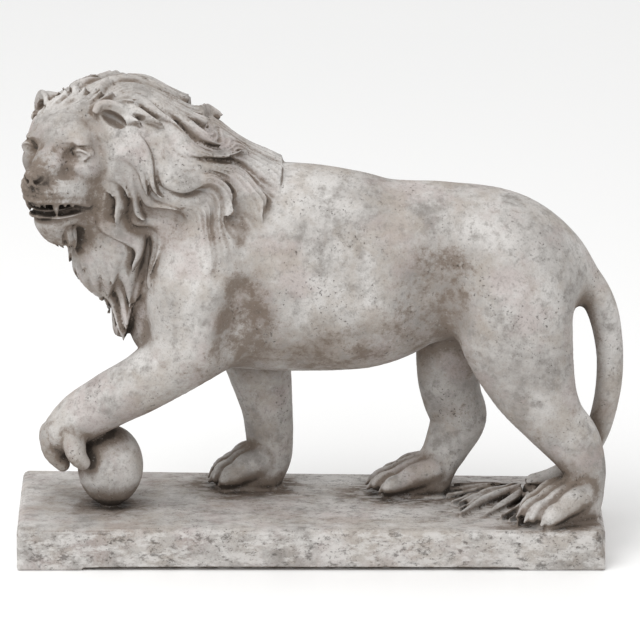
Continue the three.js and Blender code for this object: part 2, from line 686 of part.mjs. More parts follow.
// Thins a closed surface to a number of triangles by merging the edges whose loss moves its planes least.
function thinned({ vertices, triangles }, wanted) {
  const faces = triangles.map((t) => [...t]);
  const around = vertices.map(() => new Set());
  const quadric = vertices.map(() => new Float64Array(10));
  const version = new Uint32Array(vertices.length);
  const normalOf = (a, b, c) => cross(plus(b, a, -1), plus(c, a, -1));
  faces.forEach((t, f) => {
    const [a, b, c] = t.map((v) => vertices[v]);
    const big = normalOf(a, b, c);
    const area = hypot(...big);
    const n = unit(big);
    const d = -dot(n, a);
    const plane = [...n, d];
    const rows = plane.flatMap((u, i) => plane.slice(i).map((v) => u * v));
    for (const v of t) {
      around[v].add(f);
      rows.forEach((r, i) => (quadric[v][i] += r * area));
    }
  });
  const error = (q, [x, y, z]) =>
    q[0] * x * x + 2 * q[1] * x * y + 2 * q[2] * x * z + 2 * q[3] * x + q[4] * y * y + 2 * q[5] * y * z +
    2 * q[6] * y + q[7] * z * z + 2 * q[8] * z + q[9];
  const best = (a, b) => {
    const q = quadric[a].map((v, i) => v + quadric[b][i]);
    const [m00, m01, m02, b0, m11, m12, b1, m22, b2] = q;
    const c00 = m11 * m22 - m12 * m12;
    const c01 = m02 * m12 - m01 * m22;
    const c02 = m01 * m12 - m02 * m11;
    const det = m00 * c00 + m01 * c01 + m02 * c02;
    const middle = plus(vertices[a], vertices[b]).map((v) => v / 2);
    const span = hypot(...plus(vertices[a], vertices[b], -1));
    const options = [vertices[a], vertices[b], middle];
    if (abs(det) > 1e-9) {
      const c11 = m00 * m22 - m02 * m02;
      const c12 = m01 * m02 - m00 * m12;
      const c22 = m00 * m11 - m01 * m01;
      const solved = [
        -(c00 * b0 + c01 * b1 + c02 * b2) / det,
        -(c01 * b0 + c11 * b1 + c12 * b2) / det,
        -(c02 * b0 + c12 * b1 + c22 * b2) / det,
      ];
      if (hypot(...plus(solved, middle, -1)) < span) options.push(solved);
    }
    let cost = Infinity;
    let at = middle;
    for (const p of options) {
      const e = error(q, p) + 1e-3 * span;
      if (e < cost) [cost, at] = [e, p];
    }
    return { cost, at };
  };

  const heap = [];
  const swap = (i, j) => ([heap[i], heap[j]] = [heap[j], heap[i]]);
  const push = (entry) => {
    let i = heap.push(entry) - 1;
    while (i && heap[(i - 1) >> 1].cost > heap[i].cost) {
      swap(i, (i - 1) >> 1);
      i = (i - 1) >> 1;
    }
  };
  const pop = () => {
    const top = heap[0];
    const last = heap.pop();
    if (heap.length) {
      heap[0] = last;
      for (let i = 0; ; ) {
        let least = i;
        for (const c of [2 * i + 1, 2 * i + 2])
          if (c < heap.length && heap[c].cost < heap[least].cost) least = c;
        if (least === i) break;
        swap(i, least);
        i = least;
      }
    }
    return top;
  };
  const neighbours = (v) => {
    const found = new Set();
    for (const f of around[v]) for (const w of faces[f]) if (w !== v) found.add(w);
    return found;
  };
  const offer = (a, b) => push({ a, b, va: version[a], vb: version[b], ...best(a, b) });
  const turnsOver = (v, other, at) => {
    for (const f of around[v]) {
      const t = faces[f];
      if (t.includes(other)) continue;
      const before = normalOf(...t.map((w) => vertices[w]));
      const after = normalOf(...t.map((w) => (w === v ? at : vertices[w])));
      if (dot(before, after) < 0.25 * hypot(...before) * hypot(...after)) return true;
    }
    return false;
  };
  vertices.forEach((_, v) => {
    for (const w of neighbours(v)) if (v < w) offer(v, w);
  });
  let left = faces.length;
  while (left > wanted && heap.length) {
    const { a, b, va, vb, at } = pop();
    if (version[a] !== va || version[b] !== vb || !around[a].size || !around[b].size) continue;
    const shared = [...neighbours(a)].filter((v) => neighbours(b).has(v));
    if (shared.length !== 2 || turnsOver(a, b, at) || turnsOver(b, a, at)) continue;
    for (const f of [...around[b]]) {
      if (faces[f].includes(a)) {
        for (const v of faces[f]) around[v].delete(f);
        faces[f] = null;
        left--;
      } else {
        faces[f] = faces[f].map((v) => (v === b ? a : v));
        around[a].add(f);
      }
    }
    around[b].clear();
    vertices[a] = at;
    quadric[b].forEach((v, i) => (quadric[a][i] += v));
    version[a]++;
    version[b]++;
    for (const w of neighbours(a)) offer(a, w);
  }
  return { vertices, triangles: faces.filter(Boolean) };
}

function geometryOf({ vertices, triangles }) {
  const geometry = new THREE.BufferGeometry();
  geometry.setAttribute("position", new THREE.Float32BufferAttribute(vertices.flat(), 3));
  geometry.setIndex(triangles.flat());
  return geometry;
}

// The plinth: a slab with rounded upright corners, softened edges, a skew head end and a top that falls
// away towards the tail and the back.
function plinth() {
  const { length, depth, height, corner, bevel } = PLINTH;
  const x = length / 2 - bevel;
  const y = depth / 2 - bevel;
  const front = -x - PLINTH_SKEW.front + corner;
  const back = -x - PLINTH_SKEW.back + corner;
  const outline = new THREE.Shape();
  outline.moveTo(front, -y);
  outline.lineTo(x - corner, -y);
  outline.absarc(x - corner, -y + corner, corner, -PI / 2, 0);
  outline.lineTo(x, y - corner);
  outline.absarc(x - corner, y - corner, corner, 0, PI / 2);
  outline.lineTo(back, y);
  outline.absarc(back, y - corner, corner, PI / 2, PI);
  outline.lineTo(front - corner, -y + corner);
  outline.absarc(front, -y + corner, corner, PI, 1.5 * PI);
  const slab = new THREE.ExtrudeGeometry(outline, {
    depth: height - 2 * bevel,
    bevelThickness: bevel,
    bevelSize: bevel,
    bevelSegments: 2,
    curveSegments: 3,
  });
  slab.translate(0, 0, bevel);
  const position = slab.attributes.position;
  for (let i = 0; i < position.count; i++) {
    const u = position.getX(i) / length + 0.5;
    const v = position.getY(i) / depth + 0.5;
    const { start, tailward, back: backward, both } = PLINTH_RISE;
    const rise = start + tailward * u + backward * v + both * u * v;
    if (position.getZ(i) > height / 2) position.setZ(i, position.getZ(i) + rise);
  }
  return slab;
}

const wasm = await Module();
wasm.setup();

function solidOf(geometry) {
  const bare = geometry.index ? geometry.toNonIndexed() : geometry.clone();
  bare.deleteAttribute("normal");
  bare.deleteAttribute("uv");
  const merged = mergeVertices(bare, 1e-3);
  return new wasm.Manifold(
    new wasm.Mesh({
      numProp: 3,
      vertProperties: merged.attributes.position.array,
      triVerts: new Uint32Array(merged.index.array),
    }),
  );
}

function geometryFrom(solid) {
  const { numProp, numVert, vertProperties, triVerts } = solid.getMesh();
  const position = new Float32Array(numVert * 3);
  for (let i = 0; i < numVert; i++)
    position.set(vertProperties.subarray(i * numProp, i * numProp + 3), i * 3);
  const geometry = new THREE.BufferGeometry();
  geometry.setAttribute("position", new THREE.BufferAttribute(position, 3));
  geometry.setIndex(new THREE.BufferAttribute(triVerts, 1));
  geometry.computeVertexNormals();
  return geometry;
}

body();
paws();
tuft();
ballUnderPaw();
skull();
mane();
muzzle();
eyes();
ears();
beard();
const lion = thinned(largestBody(surfaceOf(sampled())), TRIANGLES);
const statue = new THREE.Mesh(
  geometryFrom(solidOf(plinth()).add(solidOf(geometryOf(lion)))),
  new THREE.MeshStandardMaterial(STONE),
);
statue.name = "lion_statue";
const group = new THREE.Group();
group.add(statue);
export default group;
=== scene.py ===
"""A garden lion cast in stone, one piece with its ball and plinth, in place of the frame's solid.

The statue is carved as one field: eggs and oval limbs joined and cut with fillets, in millimetres.
The field is sampled near its surface, turned into one closed mesh, and given worn cast stone.
"""
import math

import bmesh
import bpy
import numpy as np
import openvdb
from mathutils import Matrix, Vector


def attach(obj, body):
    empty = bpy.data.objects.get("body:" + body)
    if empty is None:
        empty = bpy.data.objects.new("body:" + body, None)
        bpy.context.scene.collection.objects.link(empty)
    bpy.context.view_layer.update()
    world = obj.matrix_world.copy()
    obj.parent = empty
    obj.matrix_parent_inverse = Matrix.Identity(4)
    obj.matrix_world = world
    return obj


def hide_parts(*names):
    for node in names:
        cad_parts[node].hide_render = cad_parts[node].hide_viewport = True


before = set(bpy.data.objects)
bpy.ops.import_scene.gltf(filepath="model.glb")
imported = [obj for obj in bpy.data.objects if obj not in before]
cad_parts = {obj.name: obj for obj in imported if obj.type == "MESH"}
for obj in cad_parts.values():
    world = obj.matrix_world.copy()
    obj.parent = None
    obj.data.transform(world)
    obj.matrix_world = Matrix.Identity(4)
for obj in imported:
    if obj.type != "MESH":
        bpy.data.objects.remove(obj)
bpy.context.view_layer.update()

# One millimetre in metres. The driving sizes after it are in millimetres.
MM = 0.001
PLINTH_LENGTH, PLINTH_DEPTH, PLINTH_HEIGHT = 942, 330, 70
GROUND = PLINTH_HEIGHT
BALL_CENTRE, BALL_RADII = (-326, -30, GROUND + 65), (54, 54, 67)
# The head is placed by the middle between its eyes, and turned from straight ahead to the lion's left.
HEAD_EYES, HEAD_TURN, EYE_SPACING = (-403, -98, 678), math.radians(60), 94

# The carving is sampled in cells of this size, and its mesh is thinned to this many triangles.
CELL = 2.2
TRIANGLES = 192000

# Each limb is a row of stations: x, y, z, half its width across the lion, half its height along the section.
SPINE = [
    (-246, 0, 424, 80, 96),
    (-180, 0, 446, 112, 146),
    (-95, 0, 458, 120, 168),
    (-19, 0, 459, 122, 171),
    (77, 0, 453, 115, 161),
    (150, 0, 464, 104, 139),
    (213, 0, 472, 98, 128),
    (300, 0, 474, 98, 111),
    (368, 0, 453, 78, 83),
    (402, 0, 442, 48, 56),
]
NECK = [
    (-110, 0, 500, 100, 110),
    (-190, -4, 560, 92, 104),
    (-262, -14, 620, 80, 88),
    (-320, -36, 660, 70, 74),
]
NEAR_FORELEG = [
    (-160, -72, 505, 44, 76),
    (-166, -80, 425, 50, 76),
    (-184, -82, 358, 50, 62),
    (-258, -72, 295, 45, 50),
    (-318, -60, 258, 43, 46),
    (-369, -52, 225, 44, 42),
    (-398, -46, 198, 42, 36),
]
FAR_FORELEG = [
    (-150, 74, 480, 46, 78),
    (-121, 76, 390, 48, 71),
    (-95, 80, 305, 44, 60),
    (-85, 84, 258, 42, 52),
    (-74, 86, 200, 38, 43),
    (-70, 86, 156, 36, 40),
    (-70, 86, 118, 37, 38),
    (-76, 86, 95, 38, 34),
]
NEAR_HIND_LEG = [
    (316, -50, 480, 58, 78),
    (320, -62, 430, 62, 92),
    (327, -68, 366, 56, 92),
    (352, -72, 288, 47, 72),
    (384, -75, 230, 40, 53),
    (417, -77, 190, 35, 47),
    (436, -79, 150, 32, 37),
    (438, -82, 112, 33, 33),
    (434, -85, 92, 35, 33),
]
FAR_HIND_LEG = [
    (305, 52, 472, 56, 78),
    (266, 58, 390, 58, 80),
    (230, 62, 316, 50, 61),
    (222, 63, 260, 44, 52),
    (228, 62, 222, 40, 49),
    (238, 61, 188, 37, 47),
    (222, 58, 146, 34, 39),
    (205, 55, 112, 34, 33),
    (194, 54, 92, 35, 30),
]
TAIL = [
    (362, 0, 484, 30, 33),
    (402, -2, 467, 28, 31),
    (438, -5, 438, 25, 29),
    (465, -9, 394, 22, 26),
    (478, -12, 334, 20, 23),
    (479, -14, 276, 19, 22),
    (471, -14, 222, 19, 21),
    (454, -12, 172, 19, 20),
    (426, 6, 126, 18, 17),
    (392, 26, 99, 18, 15),
    (358, 36, 86, 20, 13),
]

# Forward and left are the head's own ways.
UP = np.array((0.0, 0.0, 1.0))
FORWARD = np.array((-math.cos(HEAD_TURN), -math.sin(HEAD_TURN), 0))
LEFT = np.array((math.sin(HEAD_TURN), -math.cos(HEAD_TURN), 0))
HEAD_AXES = np.array((FORWARD, LEFT, UP))


def unit(v):
    v = np.asarray(v, float)
    return v / (np.linalg.norm(v) or 1)


def mix(a, b, t):
    return a + (b - a) * t


def on_head(forward, left, up):
    return np.array(HEAD_EYES) + FORWARD * forward + LEFT * left + UP * up


class Egg:
    """An egg with its own axes, as a distance that is true enough near its surface."""

    def __init__(self, centre, radii, axes=np.eye(3)):
        self.centre = np.asarray(centre, float)
        self.radii = np.asarray(radii, float)
        self.axes = np.asarray(axes, float)
        reach = max(radii)
        self.low, self.high = self.centre - reach, self.centre + reach

    def distance(self, p):
        q = (p - self.centre) @ self.axes.T / self.radii
        near = np.sqrt((q * q).sum(-1))
        steep = np.sqrt(((q / self.radii) ** 2).sum(-1))
        return near * (near - 1) / np.maximum(steep, 1e-9)


def through_stations(stations, steps_each):
    """A smooth curve through stations: every number of a station runs smoothly to the next."""
    rows = np.array(stations, float)
    last = len(rows) - 1
    points = []
    for k in range(last):
        p, q, r, s = (rows[min(last, max(0, k + n))] for n in (-1, 0, 1, 2))
        for i in range(steps_each):
            t = i / steps_each
            slope, bend, twist = r - p, 2 * p - 5 * q + 4 * r - s, 3 * q - 3 * r + s - p
            points.append(q + 0.5 * t * (slope + t * (bend + t * twist)))
    return np.array([*points, rows[last]])


class Limb:
    """An oval section swept along a curve. Sides is the way that the half width lies along."""

    def __init__(self, stations, sides=(0, 1, 0), steps_each=4, strands=None):
        points = through_stations(stations, steps_each)
        reach = points[:, 3:].max()
        self.low, self.high = points[:, :3].min(0) - reach, points[:, :3].max(0) + reach
        self.strands = strands
        self.pieces = []
        sides = np.asarray(sides, float)
        for a, b in zip(points[:-1], points[1:]):
            along = b[:3] - a[:3]
            t = unit(along)
            s = unit(sides - t * sides.dot(t))
            self.pieces.append((a, b, t, s, np.cross(t, s), np.linalg.norm(along)))

    def distance(self, p):
        p = p.astype(np.float32)
        best = np.full(len(p), np.inf, np.float32)
        best_across = np.zeros(len(p), np.float32)
        best_along = np.zeros(len(p), np.float32)
        count = len(self.pieces)
        # A piece's t, s and w are the way along it, the way of its half width, and the way square to both.
        for i, (a, b, t, s, w, length) in enumerate(self.pieces):
            v = p - a[:3].astype(np.float32)
            along = v @ t.astype(np.float32)
            f = np.clip(along / length, 0, 1)
            rs, rw = mix(a[3], b[3], f), mix(a[4], b[4], f)
            rt = np.minimum(rs, rw)
            ds = v @ s.astype(np.float32) / rs
            dw = v @ w.astype(np.float32) / rw
            dt = (along - f * length) / rt
            near = np.sqrt(ds * ds + dw * dw + dt * dt)
            steep = np.sqrt((ds / rs) ** 2 + (dw / rw) ** 2 + (dt / rt) ** 2)
            d = near * (near - 1) / np.maximum(steep, 1e-9)
            take = d < best
            best = np.where(take, d, best)
            if self.strands:
                best_across = np.where(take, ds, best_across)
                best_along = np.where(take, (i + f) / count, best_along)
        if self.strands:
            best = best + self.strands(best_across, best_along)
        return best


# The carving's steps in order: a shape, its fillet, 1 to join it or -1 to cut it, and its groove's width.
carving = []
FAR = 1e3  # the field where no shape is near
MARGIN = 12  # how far past its fillet a shape still counts at loose points
BLOCKS_AT_ONCE = 4000  # how many blocks are worked out together


def join(shape, fillet, groove=0):
    """Joins a shape, and first cuts a groove of the given width round it when it lies over other work."""
    carving.append((shape, fillet, 1, groove))


def cut(shape, fillet):
    carving.append((shape, fillet, -1, 0))


def blended(a, b, fillet):
    """Two distances joined with a fillet of about the given size."""
    h = np.maximum(fillet - np.abs(a - b), 0) / fillet
    return np.minimum(a, b) - h * h * fillet * 0.25


def worked(d, own, fillet, sign, groove):
    """The carving's distance once one more shape has been joined to it or cut from it."""
    if groove:
        d = -blended(-d, own - groove, fillet)
    return sign * blended(sign * d, own, fillet)


def field_at(points):
    """The distance to the whole carving's surface at loose points."""
    d = np.full(len(points), FAR)
    for shape, fillet, sign, groove in carving:
        reach = fillet + groove + MARGIN
        inside = ((points > shape.low - reach) & (points < shape.high + reach)).all(1)
        if inside.any():
            own = shape.distance(points[inside])
            d[inside] = worked(d[inside], own, fillet, sign, groove)
    return d


def field_in_blocks(corners, side):
    """The field at the points of cubes of the given number of cells, from each cube's low corner."""
    steps = np.arange(side) * CELL
    offsets = np.stack(np.meshgrid(steps, steps, steps, indexing="ij"), -1).reshape(-1, 3)
    d = np.full((len(corners), len(offsets)), FAR, np.float32)
    for shape, fillet, sign, groove in carving:
        reach = fillet + groove + 2 * CELL
        low, high = shape.low - reach, shape.high + reach
        rows = np.flatnonzero(((corners + side * CELL > low) & (corners < high)).all(1))
        for part in np.array_split(rows, max(1, len(rows) // BLOCKS_AT_ONCE)):
            if len(part):
                points = (corners[part][:, None] + offsets).reshape(-1, 3)
                own = shape.distance(points).reshape(len(part), -1)
                d[part] = worked(d[part], own, fillet, sign, groove)
    return d


SHOULDERS = {side: Egg((-160, side * 70, 440), (76, 52, 118)) for side in (-1, 1)}


def body():
    join(Limb(SPINE, steps_each=10), 1)
    join(Limb(NEAR_HIND_LEG, steps_each=8), 34)
    join(Limb(FAR_HIND_LEG, steps_each=8), 34)
    join(Limb(NEAR_FORELEG, steps_each=8), 30)
    join(Limb(FAR_FORELEG, steps_each=8), 30)
    join(Limb(NECK, steps_each=8), 40)
    join(Limb(TAIL, steps_each=6), 14)
    for side, shoulder in SHOULDERS.items():
        join(shoulder, 40)
        # The shoulder and elbow stand out in front of a hollow, and the flank sinks before the thigh.
        join(Egg((-196, side * 94, 420), (56, 28, 84)), 34)
        cut(Limb([
            (-112, side * 136, 285, 11, 15),
            (-111, side * 134, 350, 17, 24),
            (-108, side * 134, 410, 14, 20),
            (-104, side * 136, 450, 8, 12),
        ]), 36)
        cut(Egg((190, side * 124, 420), (30, 22, 70)), 44)


# Half a toe's width, and the groove between toes.
TOE, TOE_GROOVE = 13.5, 1.6
# Each paw on the plinth: its ankle, the way it points, its length, and its height as a share of the tallest.
PAWS = [
    {"ankle": (-76, 86), "turn": math.radians(2), "reach": 90, "height": 1},
    {"ankle": (200, 54), "turn": math.radians(4), "reach": 108, "height": 0.84},
    {"ankle": (432, -83), "turn": math.radians(28), "reach": 108, "height": 0.9},
]


def paws():
    for paw in PAWS:
        ahead = np.array((-math.cos(paw["turn"]), -math.sin(paw["turn"]), 0))
        across = np.cross(UP, ahead)
        reach, tall = paw["reach"], paw["height"]

        def at(forward, side, height):
            return np.array((*paw["ankle"], GROUND + height)) + ahead * forward + across * side

        join(Egg(at(14, 0, 26), (40, 40, 32), (ahead, across, UP)), 16)
        # The sole closes the foot down to the plinth.
        join(Limb([(*at(-8, 0, 4), TOE * 2.5, 16), (*at(reach * 0.72, 0, 4), TOE * 2.7, 14)], across), 12)
        for place in (-1.5, -0.5, 0.5, 1.5):
            # The outer toes are shorter.
            long = reach * (1 if abs(place) < 1 else 0.84)
            side = place * TOE * 1.7
            toe = [
                (*at(long * 0.06, side * 0.80, 47 * tall), TOE * 1.10, 22 * tall),
                (*at(long * 0.40, side * 0.98, 37 * tall), TOE * 1.14, 24 * tall),
                (*at(long * 0.60, side * 1.02, 27 * tall), TOE * 0.98, 20 * tall),
                (*at(long * 0.77, side * 1.04, 21 * tall), TOE * 1.10, 19 * tall),
                (*at(long * 0.89, side * 1.05, 13), TOE * 0.96, 12),
            ]
            claw = [
                (*at(long * 0.93, side * 1.05, 19 * tall), 5.5, 7),
                (*at(long * 1.03, side * 1.06, 5), 3, 4),
            ]
            join(Limb(toe, across, 3), 10, TOE_GROOVE)
            join(Limb(claw, across), 3, 1)


# The toes that hang over the ball, nearest first: where the root, the knuckle, the pad and the tip lie.
BALL_TOES = [
    ((-384, -64, 208), (-382, -84, 190), (-377, -90, 170), (-368, -86, 157)),
    ((-400, -48, 206), (-418, -56, 191), (-417, -58, 166), (-402, -56, 145)),
    ((-402, -22, 202), (-422, -16, 186), (-420, -14, 161), (-402, -12, 140)),
    ((-390, 4, 200), (-406, 18, 182), (-404, 24, 158), (-388, 24, 140)),
]


def ball_under_paw():
    join(Egg(BALL_CENTRE, BALL_RADII), 4)
    for root, knuckle, pad, tip in BALL_TOES:
        out = unit((knuckle[0] - BALL_CENTRE[0], knuckle[1] - BALL_CENTRE[1], 0))
        across = np.cross(UP, out)
        toe = [(*root, 17, 18), (*knuckle, 19, 20), (*pad, 16, 17), (*tip, 14, 13)]
        join(Limb(toe, across, 3), 10, TOE_GROOVE)


def scatter(index, salt):
    """A number from 0 to 1 that looks random but is the same in every run. Each salt gives another one."""
    v = np.sin(index * 127.1 + salt * 311.7) * 43758.5453
    return v - np.floor(v)


def strands_of(index, count, deep):
    """Grooves along a limb, fading out at its root and its tip."""
    phase = scatter(index, 5) * 2 - 1

    def strands(across, along):
        fade = deep * np.clip(1.5 - 1.3 * along, 0, 1) * np.clip(along * 5 - 0.5, 0, 1)
        return fade * (0.5 - 0.5 * np.cos(count * math.pi * (across + 0.2 * phase)))

    return strands


# Strands of the tail's tuft, lying on the plinth: each one's end, and how far it swings on its way.
# One more lies between each two.
TUFT_ROOT = (352, 36)
TUFT = [
    ((222, 74), 16),
    ((214, 40), 22),
    ((240, 6), 30),
    ((226, -34), 34),
    ((244, -78), 30),
    ((300, -110), -24),
    ((330, -126), -34),
]


def tuft():
    root = np.array(TUFT_ROOT, float)
    for number in range(2 * len(TUFT) - 1):
        pair = TUFT[number // 2], TUFT[(number + 1) // 2]
        end, swing = (np.mean([one[part] for one in pair], axis=0) for part in (0, 1))
        way = (end - root) * mix(0.9, 1.06, scatter(number, 21))
        square = unit((way[1], -way[0], 0))[:2]
        stations = []
        for step in range(7):
            t = step / 6
            x, y = root + way * t + square * swing * math.sin(math.pi * t) * (1 - 0.6 * t)
            wide = max(3, 10.5 * math.sin(math.pi * (0.3 + 0.63 * t)))
            high = max(5, mix(14, 7, t) - 3 * (number % 2))
            stations.append((x, y, GROUND + 1 - 4 * t, wide, high))
        join(Limb(stations, (*square, 0), 3, strands_of(number + 400, 2, 1.4)), 5, 1.6)


def on_face(forward, left, up, radii):
    return Egg(on_head(forward, left, up), radii, HEAD_AXES)


def head_limb(stations, side, steps_each=3, strands=None):
    """A limb whose stations are forward, left, up, half width, half height on the head."""
    return Limb([(*on_head(*s[:3]), *s[3:]) for s in stations], side, steps_each, strands)


SKULL = on_face(-62, 0, 0, (78, 68, 64))
CHEEKS = [on_face(-44, side * 40, -58, (42, 28, 48)) for side in (-1, 1)]
JAW = on_face(-38, 0, -100, (42, 46, 36))
# The outline of the muzzle at the lips, from the front to a corner of the mouth: forward and left.
# Its middle lies this far forward.
MUZZLE = [(67, 3), (61, 20), (43, 37), (15, 48), (-14, 54)]
MUZZLE_MIDDLE = 10
# What follows that outline: how far up each point is, its half height, and its half depth.
# The broad pads carry the whiskers, and the mouth is cut below them.
LIP_PAD = (-53, -53, -54, -57, -66), (18, 20, 20, 18, 12), (14, 16, 16, 14, 10)
MOUTH = (-84, -84, -85, -88, -94), (8, 8, 7, 4.5, 2), (13, 13, 12, 10, 6)
UPPER_LIP = (-70, -71, -72, -76, -86), (4, 4.5, 4.5, 4, 3), (5, 5.5, 5.5, 5, 4)
LOWER_LIP = (-97, -98, -99, -99, -99), (3.5, 3.5, 3.5, 3, 3), (4.5, 4.5, 4.5, 4.5, 4.5)


def round_muzzle(side, inset, points, strands=None):
    """A limb that follows one side of the muzzle's outline, set in by a share of its size."""
    stations = []
    for (forward, left), up, high, deep in zip(MUZZLE, *points):
        stations.append((mix(forward, MUZZLE_MIDDLE, inset), side * left * (1 - inset), up, high, deep))
    return head_limb(stations, UP, 3, strands)


def whisker_lines(across, along):
    return 1.7 * (0.5 - 0.5 * np.cos(4.6 * math.pi * across)) * np.clip(1.4 - 1.4 * along, 0, 1)


def skull():
    join(SKULL, 20)
    join(on_face(-24, 0, 20, (30, 48, 30)), 22)
    # The bridge of the nose.
    join(head_limb([
        (-16, 0, 2, 34, 26),
        (16, 0, -14, 29, 25),
        (44, 0, -30, 23, 21),
        (60, 0, -36, 19, 17),
    ], LEFT), 16)
    join(on_face(18, 0, -52, (42, 40, 28)), 14)
    for cheek in CHEEKS:
        join(cheek, 20)
    for side in (-1, 1):
        join(on_face(-14, side * 45, -22, (30, 23, 26)), 18)
        join(on_face(-4, side * 36, 16, (16, 22, 9)), 12)
        join(on_face(-6, side * 38, -62, (26, 16, 24)), 16)


def muzzle():
    # The jaw hangs under the mouth and ends in a chin.
    join(on_face(2, 0, -108, (42, 33, 20)), 12)
    join(JAW, 20)
    join(on_face(23, 0, -116, (20, 22, 20)), 12)
    join(on_face(7, 0, -132, (21, 22, 17)), 14)
    join(on_face(-10, 0, -143, (20, 20, 15)), 14)
    for side in (-1, 1):
        join(round_muzzle(side, 0.24, LIP_PAD, whisker_lines), 9)
    for side in (-1, 1):
        cut(round_muzzle(side, 0.02, MOUTH), 3)
    for side in (-1, 1):
        join(round_muzzle(side, 0.10, UPPER_LIP), 8)
        join(round_muzzle(side, 0.26, LOWER_LIP), 7)


# Each tooth of one side: its place forward and left, how far up its root and its tip are, and its thickness.
TEETH = [
    (47, 27, -74, -91, 7),
    (61, 5, -74, -81, 4.5),
    (58, 13, -74, -81, 4.5),
    (35, 36, -76, -82, 5),
    (22, 41, -78, -84, 5),
]


def teeth():
    # The gums and tongue close the mouth behind the teeth.
    join(on_face(12, 0, -87, (41, 33, 7)), 3)
    for side in (-1, 1):
        for forward, left, root, tip, thick in TEETH:
            join(head_limb([
                (forward - 3, side * (left - 2), root, thick, thick),
                (forward - 4, side * (left - 2), mix(root, tip, 0.5), thick * 0.8, thick * 0.8),
                (forward - 6, side * (left - 2), tip, thick * 0.5, thick * 0.5),
            ], LEFT, 1), 1)


def nose():
    join(on_face(62, 0, -28, (13, 17, 10)), 7)
    for side in (-1, 1):
        join(on_face(63, side * 13, -31, (10, 8, 9)), 5)
        cut(on_face(74, side * 8, -36, (7, 3.6, 2.6)), 2)
        cut(head_limb([
            (73, side * 9, -36, 2, 2),
            (71, side * 17, -30, 2.4, 2.4),
            (64, side * 23, -20, 1.4, 1.4),
        ], UP, 2), 2)
    cut(on_face(78, 0, -56, (14, 1.8, 14)), 3)


EYEBALL = (-6, (16, 19, 14))  # how far ahead its middle is, and its radii
# The lids' edges over the eyeball, from the inner corner to the outer: across, up, and how thick.
UPPER_LID = [(-17, -3, 1.8), (-9, 5, 3.2), (0, 8, 3.9), (9, 6.5, 3.4), (17, 0, 2)]
LOWER_LID = [(-16, -4, 1.5), (-9, -7, 2.3), (0, -8.5, 2.7), (9, -6.5, 2.4), (16, -1, 1.6)]


def eyes():
    ahead, radii = EYEBALL
    for side in (-1, 1):
        middle = side * EYE_SPACING / 2
        cut(on_face(14, middle, -1, (15, 20, 10)), 9)
        join(on_face(ahead, middle, -1, radii), 1.5)
        for lid in (UPPER_LID, LOWER_LID):
            stations = []
            for across, up, thick in lid:
                out = radii[0] * math.sqrt(max(0.04, 1 - (across / radii[1]) ** 2 - (up / radii[2]) ** 2))
                stations.append((ahead + out + 1, middle + side * across, up - 1, thick, thick))
            join(head_limb(stations, UP, 4), 1.2)
        # The iris is a shallow dish with the pupil as a bead in it.
        cut(on_face(12.5, middle + side * 2, 0, (4, 6.8, 6)), 1)
        join(on_face(8.6, middle + side * 2, 0.6, (2.6, 2.7, 2.7)), 0.6)
        # The crease of the frown, from over the inner corner of the eye towards the nose.
        cut(head_limb([
            (13, side * 38, 14, 1.5, 1.5),
            (20, side * 26, 13, 2.6, 2.3),
            (25, side * 14, 9, 1.5, 1.5),
        ], UP, 2), 7)


# Each ear: the side of the head, its place back and out from the eyes' middle, and up.
EARS = [(1, -50, 74, 55), (-1, -72, 60, 50)]
EAR_SLOPE = math.radians(32)


def ears():
    for side, back, out, up in EARS:
        facing = unit(FORWARD + 0.85 * side * LEFT)
        outwards = unit(np.cross(UP, facing)) * side
        rise = np.cross(facing, outwards) * side
        long = outwards * math.cos(EAR_SLOPE) - rise * math.sin(EAR_SLOPE)
        high = outwards * math.sin(EAR_SLOPE) + rise * math.cos(EAR_SLOPE)
        centre = on_head(back, side * out, up) + facing * 7
        join(Egg(centre - facing * 4, (14, 36, 22), (facing, long, high)), 6)
        # The rim runs from the front of the ear over its top to the back.
        stations = []
        for step in range(7):
            turn = math.radians(mix(200, -20, step / 6))
            round_at = centre + facing * 5 + long * 32 * math.cos(turn) + high * 19 * math.sin(turn)
            size = 6 - 2 * step / 6
            stations.append((*round_at, size, size + 1))
        join(Limb(stations, facing, 2), 3)
        cut(Egg(centre + facing * 12 - high * 3, (17, 22, 10), (facing, long, high)), 4)


# The mass of the mane that the locks lie on.
MANE_BULK = [
    Egg(on_head(-92, 0, -4), (64, 82, 66), HEAD_AXES),
    Egg((-300, -8, 684), (90, 105, 89)),
    Egg((-222, 0, 628), (101, 113, 98)),
    Egg((-150, 0, 588), (97, 101, 73)),
    Egg((-315, -26, 507), (66, 85, 78)),
    Egg((-256, -16, 416), (46, 70, 82)),
    Egg((-268, -30, 368), (34, 48, 50)),
]
MANE_FILLET = 40
BARREL = Egg((-70, 0, 459), (130, 120, 166))


def mane_bulk(points):
    """What the locks lie on: the mass, with the head before it and the shoulders and barrel behind it."""
    d = SKULL.distance(points)
    for shape in (*MANE_BULK, *CHEEKS, JAW, *SHOULDERS.values(), BARREL):
        d = blended(d, shape.distance(points), MANE_FILLET)
    return d


# The mane as a ball: its middle, and how far it reaches each way.
# On the ball the hair flows in arcs from the face to a point under the neck, like field lines between poles.
MANE_CENTRE, MANE_REACH = np.array((-240.0, -15.0, 610.0)), np.array((170.0, 110.0, 180.0))
HAIR_POLE = on_head(-30, 0, 4)
TIP_POLE = unit((0.02, 0, -1))
# How many locks leave the face, how many widths long each is, and how many strands a width has.
LOCKS, LOCK_LENGTH, STRANDS = 20, 3.3, 6
LOCK_HEIGHT, STRAND_DEPTH = 18, 3
LAYERS = 2
WAVE, WAVE_TURN = 0.44, 1.9  # how far the flow swings, in locks, and how soon it turns
# How far ahead of the eyes the hair starts, and over how far the locks rise from there and from the hem.
HAIRLINE, HAIRLINE_RISE, HEM_RISE = -20, 26, 34
